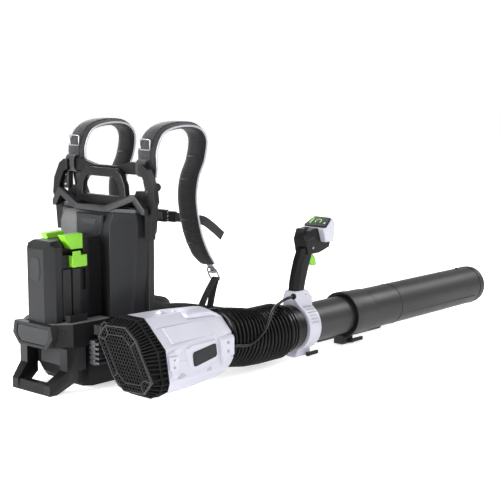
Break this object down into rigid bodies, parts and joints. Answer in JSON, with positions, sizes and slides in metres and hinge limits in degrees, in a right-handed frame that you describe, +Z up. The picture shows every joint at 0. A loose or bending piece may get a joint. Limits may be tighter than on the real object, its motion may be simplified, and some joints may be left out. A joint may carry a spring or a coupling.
{
  "type": "backpack leaf blower",
  "caption": "Backpack leaf blower: battery dock and harness, side-mounted axial fan housing, flexible hose, telescoping blow tube and control handle",
  "frame": {"origin": "middle of the flat underside of the base plate, which stands on the ground", "axes": "+X is the blowing direction and the way the wearer faces, +Y the wearer's left, +Z up"},
  "size_m": [1.62, 0.533, 0.6542],
  "materials": {
    "charcoal": "fine moulded texture",
    "black_plastic": "fine moulded texture",
    "tube_plastic": "satin",
    "hose_rubber": "semi-gloss",
    "light_plastic": "satin",
    "green_plastic": "satin",
    "strap_fabric": "woven",
    "webbing": "ribbed weave",
    "bright_metal": "satin",
    "contact_metal": "plain",
    "fan_plastic": "plain",
    "screen": "gloss"
  },
  "bodies": {
    "pack": {"base_housing": "charcoal", "base_plate": "black_plastic", "rear_foot_loop": "charcoal", "rear_bumper": "charcoal", "control_module": "bright_metal", "battery_spine": "charcoal", "battery_rail_right": "charcoal", "battery_rail_left": "charcoal", "battery_terminal_right": "contact_metal", "battery_terminal_left": "contact_metal", "back_shell": "charcoal", "top_cap": "charcoal", "carry_handle": "charcoal", "harness_frame": "black_plastic", "back_pad": "strap_fabric", "lumbar_pad": "strap_fabric", "shoulder_strap_right": "strap_fabric", "shoulder_strap_left": "strap_fabric", "strap_adjuster_right": "bright_metal", "strap_adjuster_left": "bright_metal", "lower_ring_right": "bright_metal", "lower_ring_left": "bright_metal", "lower_webbing_right": "webbing", "lower_webbing_left": "webbing", "hip_belt_right": "strap_fabric", "hip_belt_left": "strap_fabric", "chest_webbing_right": "webbing", "chest_webbing_left": "webbing", "chest_buckle_male": "black_plastic", "chest_buckle_female": "black_plastic", "housing_upper": "light_plastic", "housing_lower": "light_plastic", "intake_cage": "black_plastic", "fan_duct": "black_plastic", "motor": "bright_metal", "mounting_arm": "charcoal", "side_vent": "bright_metal", "hose_rear": "hose_rubber", "cable_rear": "hose_rubber"},
    "fan": {"fan_rotor": "fan_plastic"},
    "hose_mid": {"hose_band": "hose_rubber", "hose_front": "hose_rubber", "cable_front": "hose_rubber"},
    "wand": {"blow_tube": "tube_plastic", "hose_cuff": "black_plastic", "cable_top": "hose_rubber"},
    "handle": {"handle_clamp": "light_plastic", "grip": "charcoal", "display_housing": "light_plastic", "display_screen": "screen"},
    "clamp_lever": {"clamp_lever": "black_plastic"},
    "trigger": {"trigger": "green_plastic"},
    "cruise_lever": {"cruise_lever": "black_plastic"},
    "power_button": {"power_button": "black_plastic"},
    "nozzle": {"nozzle_tube": "tube_plastic"},
    "nozzle_lock": {"nozzle_lock": "black_plastic"},
    "release_button_right": {"release_button_right": "green_plastic"},
    "release_button_left": {"release_button_left": "green_plastic"},
    "battery_latch_right": {"battery_latch_right": "green_plastic"},
    "battery_latch_left": {"battery_latch_left": "green_plastic"}
  },
  "joints": [
    {"name": "fan_spin", "type": "hinge", "parent": "pack", "child": "fan", "pos_m": [0.09, -0.24, 0.104], "axis": [1, 0, 0], "continuous": true},
    {"name": "hose_yaw", "type": "hinge", "parent": "pack", "child": "hose_mid", "pos_m": [0.247, -0.24, 0.1], "axis": [0, 0, 1], "range_deg": [-30, 10], "deforming": ["hose_rear", "cable_rear"]},
    {"name": "hose_pitch", "type": "hinge", "parent": "hose_mid", "child": "wand", "pos_m": [0.374, -0.24, 0.086], "axis": [0, 1, 0], "range_deg": [-25, 10], "deforming": ["hose_front", "cable_front"]},
    {"name": "handle_slide", "type": "slide", "parent": "wand", "child": "handle", "axis": [1, 0, 0], "range_m": [0, 0.04], "deforming": ["cable_top"]},
    {"name": "clamp_lever_swing", "type": "hinge", "parent": "handle", "child": "clamp_lever", "pos_m": [0.538, -0.269, 0.007], "axis": [0, 0, 1], "range_deg": [-110, 0]},
    {"name": "trigger_pull", "type": "hinge", "parent": "handle", "child": "trigger", "pos_m": [0.572, -0.24, 0.279], "axis": [0, 1, 0], "range_deg": [0, 12], "stiffness_Nm_per_rad": 0.4, "springref_deg": -2.86},
    {"name": "cruise_swing", "type": "hinge", "parent": "handle", "child": "cruise_lever", "pos_m": [0.554, -0.269, 0.338], "axis": [0, 1, 0], "range_deg": [0, 30]},
    {"name": "power_press", "type": "slide", "parent": "handle", "child": "power_button", "axis": [0, 0, -1], "range_m": [0, 0.0025], "stiffness_N_per_m": 400, "springref_m": -0.0005},
    {"name": "nozzle_slide", "type": "slide", "parent": "wand", "child": "nozzle", "axis": [1, 0, 0], "range_m": [-0.02, 0.12]},
    {"name": "nozzle_lock_swing", "type": "hinge", "parent": "nozzle", "child": "nozzle_lock", "pos_m": [0.742, -0.263, 0.01], "axis": [0, 0, 1], "range_deg": [-110, 0]},
    {"name": "release_press_right", "type": "slide", "parent": "pack", "child": "release_button_right", "axis": [0, 0, -1], "range_m": [0, 0.006], "stiffness_N_per_m": 600, "springref_m": -0.0005},
    {"name": "release_press_left", "type": "slide", "parent": "pack", "child": "release_button_left", "axis": [0, 0, -1], "range_m": [0, 0.006], "stiffness_N_per_m": 600, "springref_m": -0.0005},
    {"name": "latch_retract_right", "type": "slide", "parent": "pack", "child": "battery_latch_right", "axis": [0, 1, 0], "range_m": [0, 0.0045]},
    {"name": "latch_retract_left", "type": "slide", "parent": "pack", "child": "battery_latch_left", "axis": [0, -1, 0], "range_m": [0, 0.0045]}
  ],
  "couplings": [
    {"joint": "latch_retract_right", "follows": "release_press_right", "ratio": 0.75},
    {"joint": "latch_retract_left", "follows": "release_press_left", "ratio": 0.75}
  ]
}
